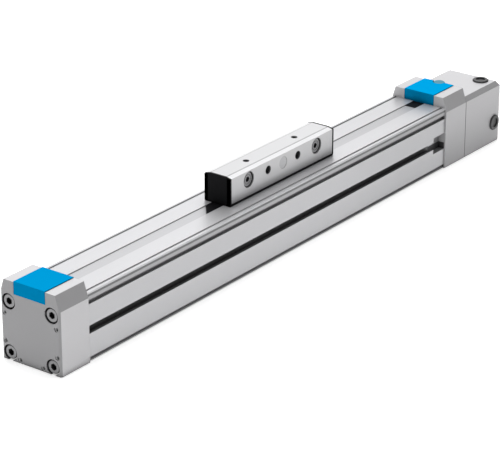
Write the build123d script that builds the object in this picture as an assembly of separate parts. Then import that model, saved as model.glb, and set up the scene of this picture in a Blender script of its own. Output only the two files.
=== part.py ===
from build123d import *
import os
from math import cos, radians, sin, sqrt

os.makedirs("parts", exist_ok=True)

# Axis as a whole
stroke = 200.0
slide_rest_offset = 16.5  # how far the slide stands from mid-travel at rest
axis_width = 45.0
screw_z = 21.0  # height of the screw axis above the base

# Body profile
profile_length = 375.0
profile_width = 43.0
profile_base = 0.4  # the profile hangs this far above the feet of the end caps
profile_top = 43.3
cavity_size = 30.0
cavity_width = 29.0
cavity_corner = 5.0
slot_width = 7.0
ridge_width = 2.1
step_width = 1.7
step_depth = 0.7
ridge_height = 1.7
seam_drop = 7.3  # from the top of the profile to the lower edge of the side seam
seam_height = 2.7
seam_depth = 2.0
foot_groove = 1.6
foot_groove_depth = 1.0
foot_lip = 0.8
nut_slot_z = 20.0
nut_slot_opening = 5.2
nut_slot_lip = 1.6
nut_slot_width = 8.2
nut_slot_depth = 4.6
nut_pocket_length = 13.5
nut_pocket_height = 11.6

# End caps
cap_length = 25.0
cap_height = 50.5
cap_side_height = 40.7
cap_top_inset = 3.1
cap_edge = 1.0
channel_width = 24.0
cover_rise = 0.5  # the band covers stand this far above the end caps
cover_side_gap = 0.2
latch_r = 4.1
latch_gap = 0.2
corner_half = 16.2  # half the spacing of the corner screws
corner_screw_r = 2.5
corner_bore_r = 5.0
corner_bore_depth = 5.6
corner_screw_grip = 12.0
mark_r = 1.5
mark_depth = 3.0
upper_mark = (19.6, 29.4)  # distance from the middle and height of each pair of marks
lower_mark = (19.7, 11.6)
base_mark = (8.8, mark_r + 0.4)
foot_hole_y = 8.0
foot_hole_r = 2.1
foot_hole_depth = 6.5

# Drive housing
drive_length = 44.0
drive_height = 43.0
drive_top_inset = 3.7
drive_bore_r = 16.0
drive_flange = 4.0
joint_edge = 0.5  # bevel around the joint with the far end cap
drive_screw_radius = 13.2  # distance of the housing screws from the screw axis
drive_screw_r = 1.5
drive_screw_grip = 6.0
pilot_r = 17.0
pilot_depth = 2.5
motor_hole_r = 1.65
motor_hole_depth = 9.0
plug_setback = 6.2  # from the motor face to the middle of the access holes
plug_r = 4.0
plug_head_r = 5.5
plug_head_height = 1.2
side_plug_z = 14.7

# Cover band
band_width = 8.8
band_thickness = 0.3
band_depth = 0.5  # from the top of the profile to the band's upper face
recess_side = 0.15  # room beside the band in its recess
band_grip = 12.0
band_lift = 4.4
ramp_length = 16.0
insert_length = 10.3
clamp_plate_length = 8.0
clamp_plate_width = 19.0
clamp_plate_height = 2.5
clamp_screw_y = 7.0
clamp_plate_screw_r = 1.5
clamp_plate_grip = 5.0

# Slide on top
slide_length = 110.0
slide_width = 20.0
slide_top = 62.6
bevel_width = 4.0
bevel_height = 1.0
slide_gap = 0.3  # running gap over the profile
strip_height = 1.4
end_plate = 1.5
side_feature_z = 55.7
clamp_spacing = 72.0
side_hole_spacing = 31.5
side_hole_r = 2.8
top_hole_spacing = 51.0
top_hole_r = 2.1
top_hole_depth = 8.0
clamp_bore_r = 5.3
clamp_head_r = 4.9
clamp_head_height = 2.6
clamp_head_sink = 1.0
clamp_screw_r = 3.0
clamp_hex_r = 2.0
clamp_ring_outer = 3.3
clamp_ring_inner = 2.8
clamp_ring_depth = 0.3
locating_r = 4.0
locating_depth = 3.5

# Carriage inside the profile
block_length = 80.0
return_cap = 5.0
neck_length = 68.0
cheek = 2.5
head_width = 10.8
head_length = 84.0
head_drop = 2.4  # roof of the slide above the head bar
rail_wall = 3.25
rail_height = 18.0
rail_floor = 3.0
guide_gap = 0.3
ball_row_r = 1.0
cassette_height = 9.0
cassette_depth = 1.7

# Ball screw and nut
screw_r = 5.0
screw_collar_r = 5.8
nut_r = 8.5
nut_length = 34.0
nut_flange = 4.0
nut_screw_r = 1.25
nut_screw_grip = 5.0
nut_bore_gap = 0.25

# Bearings
fixed_journal_r = 4.0
fixed_outer_r = 11.0
fixed_width = 7.0
float_journal_r = 3.0
float_outer_r = 6.5
float_width = 5.0
float_depth = 9.0
journal_room = 1.5
journal_relief = 4.0
ring_wall_share = 0.26
shield = 0.6
lock_nut_r = 7.5
lock_nut_length = 6.0
journal_end_r = 3.5
bumper_length = 12.0
bumper_wall = 4.0

# Coupling
hub_r = 13.5
clamp_offset = 10.3
hub_length = 14.0
jaw_length = 6.0
jaw_angle = 34.0
spider_hole_share = 0.36
spider_core_share = 0.62
motor_bore_r = 2.5
hub_screw_r = 1.5
hub_screw_length = 8.5
hub_screw_seat = 3.0  # above the screw axis
hub_slit = 1.0

# Clearances
seat = 0.05  # between pieces that are fitted together
running = 0.3  # between pieces that move past each other

# Places along the axis, from the middle of its length
total_length = 2 * cap_length + profile_length + drive_length
near_face = -total_length / 2
profile_near = near_face + cap_length
profile_far = profile_near + profile_length
drive_near = profile_far + cap_length
drive_far = drive_near + drive_length
travel_middle = (profile_near + profile_far) / 2
slide_x = travel_middle + slide_rest_offset

# Heights shared by several pieces
band_top = profile_top - band_depth
band_base = band_top - band_thickness
recess_width = band_width + 2 * recess_side
strip_base = profile_top + slide_gap
slide_base = strip_base + strip_height
plate_top = slide_base + 0.6
tunnel_top = band_top + band_lift + 1.8
head_top = slide_top - head_drop
cover_top = cap_height + cover_rise
tunnel_width = band_width + 2 * running
cheek_width = tunnel_width + 2 * cheek
block_width = cavity_width - 2 * rail_wall - 2 * guide_gap
cavity_base = screw_z - cavity_size / 2
block_base = cavity_base + rail_floor + running
block_height = 2 * (screw_z - block_base)


def block(x0, x1, y0, y1, z0, z1):
    return Pos((x0 + x1) / 2, (y0 + y1) / 2, (z0 + z1) / 2) * Box(x1 - x0, y1 - y0, z1 - z0)


def beam(x0, x1, width, z0, z1):
    return block(x0, x1, -width / 2, width / 2, z0, z1)


def rod(radius, x0, x1, y=0.0, z=screw_z):
    return Pos((x0 + x1) / 2, y, z) * Rot(0, 90, 0) * Cylinder(radius, x1 - x0)


def tube(outer_r, inner_r, x0, x1):
    return rod(outer_r, x0, x1) - rod(inner_r, x0 - 1, x1 + 1)


def post(radius, x, y, z0, z1):
    return Pos(x, y, (z0 + z1) / 2) * Cylinder(radius, z1 - z0)


def cross_rod(radius, x, z, y0, y1):
    return Pos(x, (y0 + y1) / 2, z) * Rot(90, 0, 0) * Cylinder(radius, y1 - y0)


def run(section, x0, x1):
    """A cross-section, drawn across the axis, drawn out from x0 to x1."""
    return extrude(Plane.YZ.offset(x0) * section, x1 - x0)


def mirrored_outline(half):
    """A closed outline from the points of its right half, listed from the bottom to the top."""
    left = [(-y, z) for y, z in reversed(half) if y > 0]
    return make_face(Polyline(*half, *left, close=True))


def socket_screw(shank_r, length, head_r=None, head_height=None, hex_r=None):
    """A socket head screw whose head stands on the origin and whose shank points down."""
    head_r = head_r or 1.7 * shank_r
    head_height = head_height or 2 * shank_r
    hex_r = hex_r or 0.92 * shank_r
    screw = post(head_r, 0, 0, 0, head_height)
    screw = chamfer(screw.edges().group_by(Axis.Z)[-1], 0.08 * head_r)
    screw += post(shank_r, 0, 0, -length, 0)
    socket = extrude(Pos(0, 0, 0.4 * head_height) * RegularPolygon(hex_r, 6), head_height)
    return screw - socket


def corners(spacing_y, spacing_z):
    return [(sy * spacing_y, screw_z + sz * spacing_z) for sy in (-1, 1) for sz in (-1, 1)]


def save(name, shape):
    solids = shape.solids()
    export_step(Compound(children=list(solids)) if len(solids) > 1 else solids[0], f"parts/{name}.step")


# Body profile with its seams, nut slots, screw channels and the slot under the band
def nut_slot(side):
    """The T-shaped slot in one side of the profile."""
    face = profile_width / 2
    mouth = Pos(side * (face - nut_slot_lip / 2), nut_slot_z) * Rectangle(nut_slot_lip + 1, nut_slot_opening)
    inner_depth = nut_slot_depth - nut_slot_lip
    inner = Pos(side * (face - nut_slot_lip - inner_depth / 2), nut_slot_z) * Rectangle(
        inner_depth, nut_slot_width
    )
    return mouth + inner


def profile_section():
    side = profile_width / 2
    seam_low = profile_top - seam_drop
    seam_high = seam_low + seam_height
    groove_low = profile_base + foot_lip
    groove_high = groove_low + foot_groove
    ridge = side - ridge_width
    step = ridge - step_width
    half = [
        (0, profile_base),
        (side, profile_base),
        (side, groove_low),
        (side - foot_groove_depth, groove_low),
        (side - foot_groove_depth, groove_high),
        (side, groove_high),
        (side, seam_low),
        (side - seam_depth, seam_low),
        (side - seam_depth, seam_high),
        (side - 0.75 * seam_depth, seam_high),
        (side - 0.45 * seam_depth, profile_top - ridge_height - 0.4),
        (side, profile_top - ridge_height),
        (side, profile_top),
        (ridge, profile_top),
        (ridge, profile_top - step_depth),
        (step, profile_top - step_depth),
        (step, profile_top),
        (recess_width / 2, profile_top),
        (recess_width / 2, band_base),
        (0, band_base),
    ]
    section = mirrored_outline(half)
    outer = section.vertices().filter_by(lambda v: abs(abs(v.X) - side) < 0.01)
    section = fillet(outer.filter_by(lambda v: v.Y > profile_top - 0.01), 0.6)
    section -= Pos(0, screw_z) * RectangleRounded(cavity_width, cavity_size, cavity_corner)
    section -= Pos(0, profile_top) * Rectangle(slot_width, 2 * (profile_top - screw_z))
    for y, z in corners(corner_half, corner_half):
        section -= Pos(y, z) * Circle(corner_screw_r + seat)
    for side_sign in (-1, 1):
        section -= nut_slot(side_sign)
    return section


def body_profile():
    """The profile, with a pocket at its far end through which nuts are put into each slot."""
    profile = run(profile_section(), profile_near, profile_far)
    face = profile_width / 2
    for side_sign in (-1, 1):
        ends = sorted((side_sign * (face - nut_slot_depth), side_sign * (face + 1)))
        profile -= block(profile_far - nut_pocket_length, profile_far + 1, *ends,
                         nut_slot_z - nut_pocket_height / 2, nut_slot_z + nut_pocket_height / 2)
    return profile


# End caps: blocks with a channel for the band covers on top
def cap_section():
    side = axis_width / 2
    half = [
        (0, 0),
        (side, 0),
        (side, cap_side_height),
        (side - cap_top_inset, cap_height),
        (channel_width / 2, cap_height),
        (channel_width / 2, band_top),
        (0, band_top),
    ]
    return mirrored_outline(half)


def plate_middle(cap_x0, cap_x1, inner_x):
    """Where along the axis the band's clamp plate lies in an end cap."""
    inward = 1 if inner_x > (cap_x0 + cap_x1) / 2 else -1
    return inner_x - inward * band_grip / 2


def end_cap(x0, x1, inner_x):
    cap = run(cap_section(), x0, x1)
    inward = 1 if inner_x > (x0 + x1) / 2 else -1
    grip_x = inner_x - inward * (band_grip + seat)
    cap -= beam(min(grip_x, inner_x), max(grip_x, inner_x), recess_width, band_base, band_top + 1)
    middle = plate_middle(x0, x1, inner_x)
    for y in (-clamp_screw_y, clamp_screw_y):
        cap -= post(clamp_plate_screw_r + seat, middle, y, band_top - clamp_plate_grip - 1, band_top + 1)
    for y in (-foot_hole_y, foot_hole_y):
        cap -= post(foot_hole_r, (x0 + x1) / 2, y, -1, foot_hole_depth)
    for y, z in corners(corner_half, corner_half):
        cap -= rod(corner_screw_r + seat, x0 - 1, x1 + 1, y, z)
    return cap


def near_end_cap():
    cap = end_cap(near_face, profile_near, profile_near)
    front = cap.edges().filter_by(Axis.Z).filter_by(
        lambda e: abs(e.center().X - near_face) < 0.01 and abs(e.center().Y) > axis_width / 2 - 0.01
    )
    cap = chamfer(front, cap_edge)
    for y, z in corners(corner_half, corner_half):
        cap -= rod(corner_bore_r, near_face - 1, near_face + corner_bore_depth, y, z)
    for side_sign in (-1, 1):
        for y, z in (upper_mark, lower_mark, base_mark):
            cap -= rod(mark_r, near_face - 1, near_face + mark_depth, side_sign * y, z)
    cap -= rod(float_outer_r + seat, profile_near - float_depth, profile_near + 1)
    cap -= rod(float_journal_r + journal_room, profile_near - float_depth - journal_relief, profile_near)
    return cap


def far_end_cap():
    cap = end_cap(profile_far, drive_near, profile_far)
    for y, z in corners(corner_half, corner_half):
        cap -= rod(corner_bore_r, drive_near - corner_bore_depth, drive_near + 1, y, z)
    cap -= rod(fixed_outer_r + seat, drive_near - 2 * fixed_width, drive_near + 1)
    cap -= rod(fixed_outer_r - 2, profile_far - 1, drive_near)
    for y, z in drive_screw_places():
        cap -= rod(drive_screw_r + seat, drive_near - drive_screw_grip - 2, drive_near + 1, y, z)
    return cap


def corner_screws(seat_x, towards):
    """The four screws that hold an end cap on the profile, with their heads pointing outwards."""
    length = cap_length - corner_bore_depth + corner_screw_grip
    screw = socket_screw(corner_screw_r, length)
    group = [
        Pos(seat_x, y, z) * Rot(0, 90 * towards, 0) * screw for y, z in corners(corner_half, corner_half)
    ]
    return Compound(children=group)


# Drive housing with the coupling chamber and its access holes
def drive_screw_places():
    across = drive_screw_radius / sqrt(2)
    return corners(across, across)


def drive_housing():
    side = axis_width / 2
    half = [
        (0, 0),
        (side, 0),
        (side, cap_side_height),
        (side - drive_top_inset, drive_height),
        (0, drive_height),
    ]
    housing = run(mirrored_outline(half), drive_near, drive_far)
    housing = chamfer(housing.edges().group_by(Axis.X)[0], joint_edge)
    housing -= rod(drive_bore_r, drive_near + drive_flange, drive_far + 1)
    housing -= rod(fixed_outer_r - 1, drive_near - 1, drive_far)
    housing -= rod(pilot_r, drive_far - pilot_depth, drive_far + 1)
    for y, z in drive_screw_places():
        housing -= rod(drive_screw_r + seat, drive_near - 1, drive_near + drive_flange + 1, y, z)
    for y, z in corners(corner_half, corner_half):
        housing -= rod(motor_hole_r, drive_far - motor_hole_depth, drive_far + 1, y, z)
    plug_x = drive_far - plug_setback
    housing -= post(plug_r + seat, plug_x, -clamp_offset, screw_z, drive_height + 1)
    housing -= cross_rod(plug_r + seat, plug_x, side_plug_z, -side - 1, 0)
    return housing


def drive_housing_screws():
    screw = socket_screw(drive_screw_r, drive_flange + drive_screw_grip)
    x = drive_near + drive_flange
    return Compound(children=[Pos(x, y, z) * Rot(0, 90, 0) * screw for y, z in drive_screw_places()])


def access_plug(shank):
    """A round plug with a ring-shaped head; its head rests on the origin and its shank points down."""
    plug = post(plug_head_r, 0, 0, 0, plug_head_height)
    plug = chamfer(plug.edges().group_by(Axis.Z)[-1], 0.4 * plug_head_height)
    plug += post(plug_r, 0, 0, -shank, 0)
    return plug - post(0.6 * plug_head_r, 0, 0, 0.3 * plug_head_height, plug_head_height + 1)


def top_access_plug():
    shank = 0.6 * (drive_height - screw_z - drive_bore_r)
    return Pos(drive_far - plug_setback, -clamp_offset, drive_height) * access_plug(shank)


def side_access_plug():
    shank = 0.6 * (axis_width / 2 - drive_bore_r)
    return Pos(drive_far - plug_setback, -axis_width / 2, side_plug_z) * Rot(90, 0, 0) * access_plug(shank)


# Cover band, its clamp plates, the coloured covers above them and the black inserts at its ends
def arc_xz(x0, z0, x1, z1, tangent_x):
    """An arc in the vertical plane that leaves its first point along the axis."""
    return TangentArc((x0, 0, z0), (x1, 0, z1), tangent=(tangent_x, 0, 0))


def cover_band():
    level = band_base + band_thickness / 2
    high = level + band_lift
    half_way = level + band_lift / 2
    inner = neck_length / 2 + 2
    outer = inner + ramp_length
    middle = (inner + outer) / 2
    near_flat = Line((profile_near - band_grip, 0, level), (slide_x - outer, 0, level))
    near_up = arc_xz(slide_x - outer, level, slide_x - middle, half_way, 1)
    near_over = arc_xz(slide_x - inner, high, slide_x - middle, half_way, -1)
    top = Line((slide_x - inner, 0, high), (slide_x + inner, 0, high))
    far_over = arc_xz(slide_x + inner, high, slide_x + middle, half_way, 1)
    far_down = arc_xz(slide_x + outer, level, slide_x + middle, half_way, -1)
    far_flat = Line((slide_x + outer, 0, level), (profile_far + band_grip, 0, level))
    path = Wire([near_flat.edge(), near_up.edge(), near_over.edge(), top.edge(), far_over.edge(),
                 far_down.edge(), far_flat.edge()])
    start = Plane(origin=path @ 0, x_dir=(0, 1, 0), z_dir=(1, 0, 0))
    return sweep(start * Rectangle(band_width, band_thickness), path=path)


def clamp_plate(x):
    half = clamp_plate_length / 2
    plate = beam(x - half, x + half, clamp_plate_width, band_top, band_top + clamp_plate_height)
    for y in (-clamp_screw_y, clamp_screw_y):
        plate -= post(clamp_plate_screw_r + seat, x, y, band_top - 1, band_top + clamp_plate_height + 1)
    return plate


def band_clamp_screws():
    screw = socket_screw(clamp_plate_screw_r, clamp_plate_height + clamp_plate_grip)
    top = band_top + clamp_plate_height
    places = [(x, y) for x in plate_places() for y in (-clamp_screw_y, clamp_screw_y)]
    return Compound(children=[Pos(x, y, top) * screw for x, y in places])


def plate_places():
    near = plate_middle(near_face, profile_near, profile_near)
    far = plate_middle(profile_far, drive_near, profile_far)
    return near, far


def band_cover(x0, x1, plate_x):
    """The coloured cover that fills the channel of an end cap above the clamp plate."""
    cover = beam(x0, x1, channel_width - 2 * cover_side_gap, band_top, cover_top)
    half = clamp_plate_length / 2 + running
    pocket_top = band_top + clamp_plate_height + 4
    return cover - beam(plate_x - half, plate_x + half, clamp_plate_width + 1, band_top - 1, pocket_top)


def far_band_cover():
    """The far cover, with a half-round notch for the pin that keeps it in place."""
    cover = band_cover(profile_far, drive_near, plate_places()[1])
    return cover - post(latch_r + latch_gap, drive_near, 0, band_top - 1, cover_top + 1)


def cover_pin():
    pin = post(latch_r, drive_near, 0, drive_height, cover_top - latch_gap)
    return chamfer(pin.edges().group_by(Axis.Z)[-1], joint_edge)


def band_insert(x0, x1):
    """The black insert that holds the band down beside an end cap."""
    return beam(x0, x1, recess_width - 2 * seat, band_top, band_top + 0.7 * band_depth)


# Slide: a hollow bar with end plates and strips, bolted to the carriage inside
def slide_outline():
    side = slide_width / 2
    half = [
        (0, slide_base),
        (side, slide_base),
        (side, slide_top - bevel_height),
        (side - bevel_width, slide_top),
        (0, slide_top),
    ]
    return mirrored_outline(half)


def slide_body():
    half = slide_length / 2 - end_plate
    body = run(slide_outline(), slide_x - half, slide_x + half)
    body -= beam(slide_x - half - 1, slide_x + half + 1, cheek_width, slide_base - 1, tunnel_top)
    body -= beam(slide_x - half - 1, slide_x + half + 1, head_width, slide_base, head_top)
    side = slide_width / 2
    for side_sign in (-1, 1):
        outside = side_sign * (side + 1)
        for x in (slide_x - clamp_spacing / 2, slide_x + clamp_spacing / 2):
            body -= cross_rod(clamp_screw_r + seat, x, side_feature_z, *sorted((0, outside)))
            depth = side_sign * (side - clamp_head_sink - clamp_head_height)
            body -= cross_rod(clamp_bore_r, x, side_feature_z, *sorted((depth, outside)))
        for x in (slide_x - side_hole_spacing / 2, slide_x + side_hole_spacing / 2):
            body -= cross_rod(side_hole_r, x, side_feature_z, *sorted((0, outside)))
        depth = side_sign * (side - locating_depth)
        body -= cross_rod(locating_r + seat, slide_x, side_feature_z, *sorted((depth, outside)))
    for x in (slide_x - top_hole_spacing / 2, slide_x + top_hole_spacing / 2):
        body -= post(top_hole_r, x, 0, head_top - 1, slide_top + 1)
    return body


def slide_end_plate(towards):
    """The black plate that closes one end of the slide, with its tongue in the band recess."""
    outer = slide_x + towards * slide_length / 2
    inner = outer - towards * end_plate
    x0, x1 = sorted((inner, outer))
    plate = run(slide_outline(), x0, x1)
    plate += beam(x0, x1, slide_width, strip_base, slide_base)
    plate += beam(x0, x1, recess_width - 2 * running, band_top + running, strip_base)
    plug_x = inner - towards * 6
    plug = beam(*sorted((inner, plug_x)), head_width - 2 * seat, tunnel_top, head_top - seat)
    return plate + plug


def slide_strips():
    """The two black strips under the long edges of the slide."""
    half = slide_length / 2 - end_plate
    edge = slide_width / 2
    inner = cheek_width / 2
    strips = [
        block(slide_x - half, slide_x + half, *sorted((sy * inner, sy * edge)), strip_base, slide_base)
        for sy in (-1, 1)
    ]
    return Compound(children=strips)


def slide_clamp_screws():
    length = slide_width / 2 - clamp_head_sink - clamp_head_height - 1.0
    screw = socket_screw(clamp_screw_r, length, clamp_head_r, clamp_head_height, clamp_hex_r)
    ring_top = clamp_head_height
    groove = post(clamp_ring_outer, 0, 0, ring_top - clamp_ring_depth, ring_top + 1)
    screw -= groove - post(clamp_ring_inner, 0, 0, ring_top - 1, ring_top + 1)
    seat_y = slide_width / 2 - clamp_head_sink - clamp_head_height
    group = []
    for side_sign in (-1, 1):
        for x in (slide_x - clamp_spacing / 2, slide_x + clamp_spacing / 2):
            place = Pos(x, side_sign * seat_y, side_feature_z) * Rot(-90 * side_sign, 0, 0)
            group.append(place * screw)
    return Compound(children=group)


def slide_locating_discs():
    side = slide_width / 2
    discs = []
    for side_sign in (-1, 1):
        ends = sorted((side_sign * (side - locating_depth), side_sign * (side - 0.15)))
        discs.append(cross_rod(locating_r, slide_x, side_feature_z, *ends))
    return Compound(children=discs)


# Carriage inside the profile: guide block, neck through the slot and head bar in the slide
def inner_carriage():
    half_block = block_length / 2
    half_neck = neck_length / 2
    half_head = head_length / 2
    body = beam(slide_x - half_block, slide_x + half_block, block_width, block_base, block_base + block_height)
    body += beam(slide_x - half_neck, slide_x + half_neck, slot_width - 2 * running - 0.2,
                 block_base + block_height, slide_base)
    body += beam(slide_x - half_neck, slide_x + half_neck, cheek_width, strip_base + 0.3, tunnel_top)
    body += beam(slide_x - half_head, slide_x + half_head, head_width, tunnel_top, head_top)
    body -= beam(slide_x - half_head, slide_x + half_head, tunnel_width, plate_top, tunnel_top)
    body -= rod(nut_r + seat, slide_x - half_block - 1, slide_x + half_block + 1)
    for y, z in nut_screw_places():
        body -= rod(nut_screw_r + seat, slide_x + half_block - nut_screw_grip - 1, slide_x + half_block + 1, y, z)
    for side_sign in (-1, 1):
        outside = side_sign * (block_width / 2 + 1)
        depth = side_sign * (block_width / 2 - cassette_depth)
        body -= block(slide_x - half_block - 1, slide_x + half_block + 1, *sorted((depth, outside)),
                      screw_z - cassette_height / 2, screw_z + cassette_height / 2)
        for x in (slide_x - clamp_spacing / 2, slide_x + clamp_spacing / 2):
            body -= cross_rod(clamp_screw_r + seat, x, side_feature_z, *sorted((0, side_sign * slide_width)))
        for x in (slide_x - side_hole_spacing / 2, slide_x + side_hole_spacing / 2):
            body -= cross_rod(side_hole_r, x, side_feature_z, *sorted((0, side_sign * slide_width)))
    for x in (slide_x - top_hole_spacing / 2, slide_x + top_hole_spacing / 2):
        body -= post(top_hole_r, x, 0, slide_top - top_hole_depth, slide_top)
    return body


def guide_cassettes():
    """The two plastic cassettes that lead the guide balls along the block."""
    half = block_length / 2
    cassettes = []
    for side_sign in (-1, 1):
        inner = side_sign * (block_width / 2 - cassette_depth)
        outer = side_sign * block_width / 2
        cassette = block(slide_x - half, slide_x + half, *sorted((inner, outer)),
                         screw_z - cassette_height / 2, screw_z + cassette_height / 2)
        row_y = side_sign * guide_row_y
        cassette -= rod(ball_row_r + 0.1, slide_x - half - 1, slide_x + half + 1, row_y)
        cassettes.append(cassette)
    return Compound(children=cassettes)


guide_row_y = cavity_width / 2 - rail_wall - guide_gap / 2


def guide_rail():
    outer_w = cavity_width - 2 * seat
    section = Pos(0, screw_z) * RectangleRounded(outer_w, cavity_size - 2 * seat, cavity_corner)
    section -= Pos(0, cavity_base + rail_height + cavity_size / 2) * Rectangle(2 * outer_w, cavity_size)
    inner_w = cavity_width - 2 * rail_wall
    section -= Pos(0, cavity_base + rail_floor + cavity_size / 2) * Rectangle(inner_w, cavity_size)
    for side_sign in (-1, 1):
        section -= Pos(side_sign * guide_row_y, screw_z) * Circle(ball_row_r + 0.1)
    return run(section, profile_near, profile_far)


def guide_wiper(towards):
    """The plastic plate at one end of the guide block, in which the guide balls turn back."""
    inner = slide_x + towards * block_length / 2
    if towards > 0:
        inner += nut_flange
    outer = inner + towards * return_cap
    x0, x1 = sorted((inner, outer))
    plate = beam(x0, x1, block_width, block_base + 1, block_base + block_height - 1)
    if towards > 0:
        for y, z in nut_screw_places():
            plate -= rod(1.7 * nut_screw_r + 0.2, x0 - 1, x1 + 1, y, z)
    return plate - rod(screw_r + 1, x0 - 1, x1 + 1)


# Ball screw and nut
thread_near = profile_near + 2.0
thread_far = profile_far - 2.0


def ball_screw():
    bearing_near = drive_near - 2 * fixed_width
    nut_far = drive_near + lock_nut_length
    screw = rod(screw_r, thread_near, thread_far)
    screw = chamfer(screw.edges().filter_by(GeomType.CIRCLE), 0.5)
    screw += rod(float_journal_r, float_place - 1, thread_near)
    screw += rod(screw_collar_r, thread_far, bearing_near)
    screw += rod(fixed_journal_r, bearing_near, nut_far + 1)
    screw += rod(journal_end_r, nut_far + 1, hub_near + hub_length - 3)
    return screw


def ball_nut():
    x0 = slide_x + block_length / 2 - nut_length
    x1 = slide_x + block_length / 2 + nut_flange
    nut = rod(nut_r, x0, x1)
    flange = beam(x1 - nut_flange, x1, block_width - 1, screw_z - block_height / 2 + 1.2,
                  screw_z + block_height / 2 - 1.2)
    nut += fillet(flange.edges().filter_by(Axis.X), 2)
    for y, z in nut_screw_places():
        nut -= rod(nut_screw_r + seat, x1 - nut_flange - 1, x1 + 1, y, z)
    return nut - rod(screw_r + nut_bore_gap, x0 - 1, x1 + 1)


def nut_screw_places():
    return corners(block_width / 2 - 3.2, block_height / 2 - 3.6)


def nut_screws():
    x = slide_x + block_length / 2 + nut_flange
    screw = socket_screw(nut_screw_r, nut_flange + nut_screw_grip)
    return Compound(children=[Pos(x, y, z) * Rot(0, 90, 0) * screw for y, z in nut_screw_places()])


# Bearings, lock nut and bumpers
def ring_wall(inner_r, outer_r):
    return ring_wall_share * (outer_r - inner_r)


def bearing_outer(inner_r, outer_r, x0, width):
    """The outer ring of a shielded bearing, with its two shields."""
    wall = ring_wall(inner_r, outer_r)
    ring = tube(outer_r, inner_r + wall + running, x0, x0 + width)
    return ring - rod(outer_r - wall, x0 + shield, x0 + width - shield)


def bearing_inner(inner_r, outer_r, x0, width):
    return tube(inner_r + ring_wall(inner_r, outer_r), inner_r, x0, x0 + width)


def fixed_bearings(make_ring):
    return Compound(children=[make_ring(fixed_journal_r, fixed_outer_r, x, fixed_width) for x in fixed_places])


fixed_places = (drive_near - 2 * fixed_width, drive_near - fixed_width)
float_place = profile_near - float_width - 1


def lock_nut():
    nut = tube(lock_nut_r, fixed_journal_r + seat, drive_near, drive_near + lock_nut_length)
    for i in range(4):
        notch = block(drive_near - 1, drive_near + lock_nut_length + 1, lock_nut_r - 1.5, lock_nut_r + 1, -1.3, 1.3)
        nut -= Pos(0, 0, screw_z) * Rot(90 * i, 0, 0) * notch
    return nut


def bumper(face_x, towards):
    """A rubber ring that stops the carriage before it reaches an end cap."""
    inner_r = screw_r + 2
    return tube(inner_r + bumper_wall, inner_r, *sorted((face_x, face_x + towards * bumper_length)))


# Coupling: two clamping hubs with jaws and an elastic spider between them
hub_near = drive_near + lock_nut_length + 1.5
spider_near = hub_near + hub_length
spider_far = spider_near + jaw_length
motor_hub_far = spider_far + hub_length


def sector(inner_r, outer_r, middle_angle, width_angle, x0, x1):
    ring = tube(outer_r, inner_r, x0, x1)
    reach = 2 * outer_r
    half = radians(width_angle / 2)
    wedge = Polygon((0, 0), (reach * cos(half), -reach * sin(half)), (reach * cos(half), reach * sin(half)),
                    align=None)
    wedge = extrude(Plane.YZ.offset(x0) * wedge, x1 - x0)
    return ring & (Pos(0, 0, screw_z) * Rot(middle_angle, 0, 0) * wedge)


def coupling_hub(x0, x1, bore_r, jaws_at, jaw_phase, screw_x):
    """A hub with three jaws, a slit and the hole of its clamp screw."""
    hub = tube(hub_r, bore_r, x0, x1)
    for i in range(3):
        hub += sector(0.45 * hub_r, hub_r, jaw_phase + 120 * i, jaw_angle, *jaws_at)
    slit = block(x0 - 1, x1 + 1, -hub_r - 1, -bore_r + 0.5, screw_z - hub_slit / 2, screw_z + hub_slit / 2)
    hub -= slit & rod(hub_r + 2, x0 - 1, x1 + 1)
    hub -= post(hub_screw_r + seat, screw_x, -clamp_offset, 0, 2 * screw_z)
    hub -= post(1.7 * hub_screw_r + 0.2, screw_x, -clamp_offset, screw_z + hub_screw_seat, 2 * screw_z)
    return hub


def hub_clamp_screws():
    screw = socket_screw(hub_screw_r, hub_screw_length)
    places = (hub_near + hub_length / 2, drive_far - plug_setback)
    return Compound(children=[Pos(x, -clamp_offset, screw_z + hub_screw_seat) * screw for x in places])


def coupling_spider():
    spider = tube(spider_core_share * hub_r, spider_hole_share * hub_r, spider_near + 0.2, spider_far - 0.2)
    for i in range(6):
        width = 60 - jaw_angle - 2
        spider += sector(0.55 * hub_r, hub_r - 0.5, 30 + 60 * i, width, spider_near + 0.2, spider_far - 0.2)
    for i in range(6):
        spider -= sector(0.44 * hub_r, hub_r + 1, 60 * i, jaw_angle + 1, spider_near - 1, spider_far + 1)
    return spider


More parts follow.
